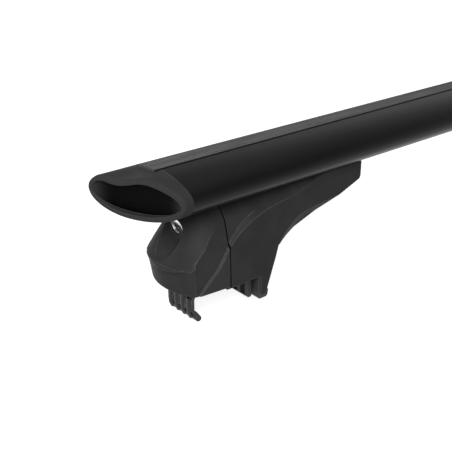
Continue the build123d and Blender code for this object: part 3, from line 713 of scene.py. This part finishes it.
class CROSSBAR_OT_locks(bpy.types.Operator):
    """Ease and finish the key locks"""

    bl_idname = "crossbar.locks"
    bl_label = "Key locks"

    def execute(self, context):
        chrome = plated("Lock chrome", finishes().chrome, rough=(0.10, 0.20), lines_per_metre=900.0)
        for side in SIDES:
            eased(side + "_lock_housing", edges().lock, chrome)
            eased(side + "_lock_barrel", edges().lock, chrome)
        return {"FINISHED"}


class CROSSBAR_OT_hardware(bpy.types.Operator):
    """Finish the bolts, nuts, plates and cams inside the feet"""

    bl_idname = "crossbar.hardware"
    bl_label = "Hardware"

    def execute(self, context):
        zinc = plated("Zinc plate", finishes().zinc, rough=(0.28, 0.44), lines_per_metre=1400.0)
        hidden = (
            "clamp_bolt",
            "clamp_washer",
            "clamp_nut",
            "mount_plate",
            "tee_bolts",
            "tee_nuts",
            "lock_cam",
            "lock_cam_screw",
        )
        for side in SIDES:
            for name in hidden:
                dress_node(side + "_" + name, zinc)
        return {"FINISHED"}


def aimed_softbox(name, place, size, power):
    """Rectangular lamp that looks at the middle of the stage."""
    lamp = bpy.data.lights.new(name, "AREA")
    lamp.shape = "RECTANGLE"
    lamp.size, lamp.size_y = size
    lamp.energy = power
    holder = bpy.data.objects.new(name, lamp)
    holder.location = place
    holder.rotation_euler = (Vector(STAGE_AIM) - Vector(place)).to_track_quat("-Z", "Y").to_euler()
    bpy.context.scene.collection.objects.link(holder)


def background_rays(board):
    """1 for rays that show the background: to the camera, off a mirror or through glass."""
    path = board.add("ShaderNodeLightPath").outputs
    direct = board.math("MAXIMUM", path["Is Camera Ray"], path["Is Glossy Ray"])
    return board.math("MAXIMUM", direct, path["Is Transmission Ray"])


class CROSSBAR_OT_stage(bpy.types.Operator):
    """Set the floor, the light and the camera"""

    bl_idname = "crossbar.stage"
    bl_label = "Stage"

    def execute(self, context):
        context.scene.view_settings.view_transform = "Standard"
        self.light_sky(context.scene)
        self.lay_floor(context.scene)
        aimed_softbox("Overhead softbox", OVERHEAD_PLACE, OVERHEAD_SIZE, studio().overhead)
        aimed_softbox("Near end softbox", SIDE_PLACE, SIDE_SIZE, studio().side)
        self.place_camera(context.scene)
        return {"FINISHED"}

    def place_camera(self, scene):
        camera = bpy.data.cameras.new("Photo camera")
        camera.lens = studio().lens
        camera.clip_start = NEAREST
        holder = bpy.data.objects.new("Photo camera", camera)
        holder.location = studio().eye
        holder.rotation_euler = (math.pi / 2 - studio().elevation, 0.0, -studio().azimuth)
        scene.collection.objects.link(holder)
        scene.camera = holder

    def light_sky(self, scene):
        world = bpy.data.worlds.new("Studio")
        world.use_nodes = True
        scene.world = world
        board = Board(world.node_tree)
        upward = board.split(board.add("ShaderNodeTexCoord").outputs["Generated"])["Z"]
        level = board.ramp(upward, LIGHT_SPAN, into=(studio().ground, studio().sky))
        background = board.ramp(upward, BACKDROP_SPAN, into=(1.0, studio().ceiling))
        change = board.math("SUBTRACT", background, level)
        strength = board.math("MULTIPLY_ADD", background_rays(board), change, level)
        backdrop = world.node_tree.nodes["Background"]
        backdrop.inputs["Color"].default_value = (1.0, 1.0, 1.0, 1.0)
        world.node_tree.links.new(strength, backdrop.inputs["Strength"])

    def lay_floor(self, scene):
        bm = bmesh.new()
        bmesh.ops.create_grid(bm, x_segments=1, y_segments=1, size=FLOOR_HALF)
        mesh = bpy.data.meshes.new("Floor")
        bm.to_mesh(mesh)
        bm.free()
        mesh.materials.append(self.floor_material())
        floor = bpy.data.objects.new("Floor", mesh)
        scene.collection.objects.link(floor)

    def floor_material(self):
        made = bpy.data.materials.new("Pale floor")
        made.use_nodes = True
        tree = made.node_tree
        board = Board(tree)
        shader = tree.nodes["Principled BSDF"]
        shader.inputs["Base Color"].default_value = opaque(studio().floor)
        shader.inputs["Roughness"].default_value = FLOOR_ROUGH
        plain = shader.outputs[0]
        glow = board.add("ShaderNodeEmission", {"Strength": studio().floor_glow}).outputs[0]
        lifted = board.add("ShaderNodeAddShader", {0: plain, 1: glow}).outputs[0]
        choice = board.add("ShaderNodeMixShader", {0: background_rays(board), 1: plain, 2: lifted})
        tree.links.new(choice.outputs[0], tree.nodes["Material Output"].inputs["Surface"])
        return made


OPERATORS = [
    CROSSBAR_OT_extrusion,
    CROSSBAR_OT_strip,
    CROSSBAR_OT_caps,
    CROSSBAR_OT_feet,
    CROSSBAR_OT_pads,
    CROSSBAR_OT_claws,
    CROSSBAR_OT_locks,
    CROSSBAR_OT_hardware,
    CROSSBAR_OT_stage,
]


class CROSSBAR_PT_panel(bpy.types.Panel):
    """Lists the steps that dress the crossbar"""

    bl_idname = "CROSSBAR_PT_panel"
    bl_label = "Crossbar"
    bl_space_type = "VIEW_3D"
    bl_region_type = "UI"
    bl_category = "Crossbar"

    def draw(self, context):
        for step in OPERATORS:
            self.layout.operator(step.bl_idname)


SETTINGS = {
    "crossbar_finishes": CrossbarFinishes,
    "crossbar_edges": CrossbarEdges,
    "crossbar_studio": CrossbarStudio,
}
CLASSES = [*SETTINGS.values(), *OPERATORS, CROSSBAR_PT_panel]


def register():
    for item in CLASSES:
        bpy.utils.register_class(item)
    for name, kind in SETTINGS.items():
        setattr(bpy.types.Scene, name, PointerProperty(type=kind))


def unregister():
    for name in SETTINGS:
        delattr(bpy.types.Scene, name)
    for item in reversed(CLASSES):
        bpy.utils.unregister_class(item)


def main():
    register()
    bpy.ops.crossbar.extrusion()
    bpy.ops.crossbar.strip()
    bpy.ops.crossbar.caps()
    bpy.ops.crossbar.feet()
    bpy.ops.crossbar.pads()
    bpy.ops.crossbar.claws()
    bpy.ops.crossbar.locks()
    bpy.ops.crossbar.hardware()
    bpy.ops.crossbar.stage()


if __name__ == "__main__":
    main()
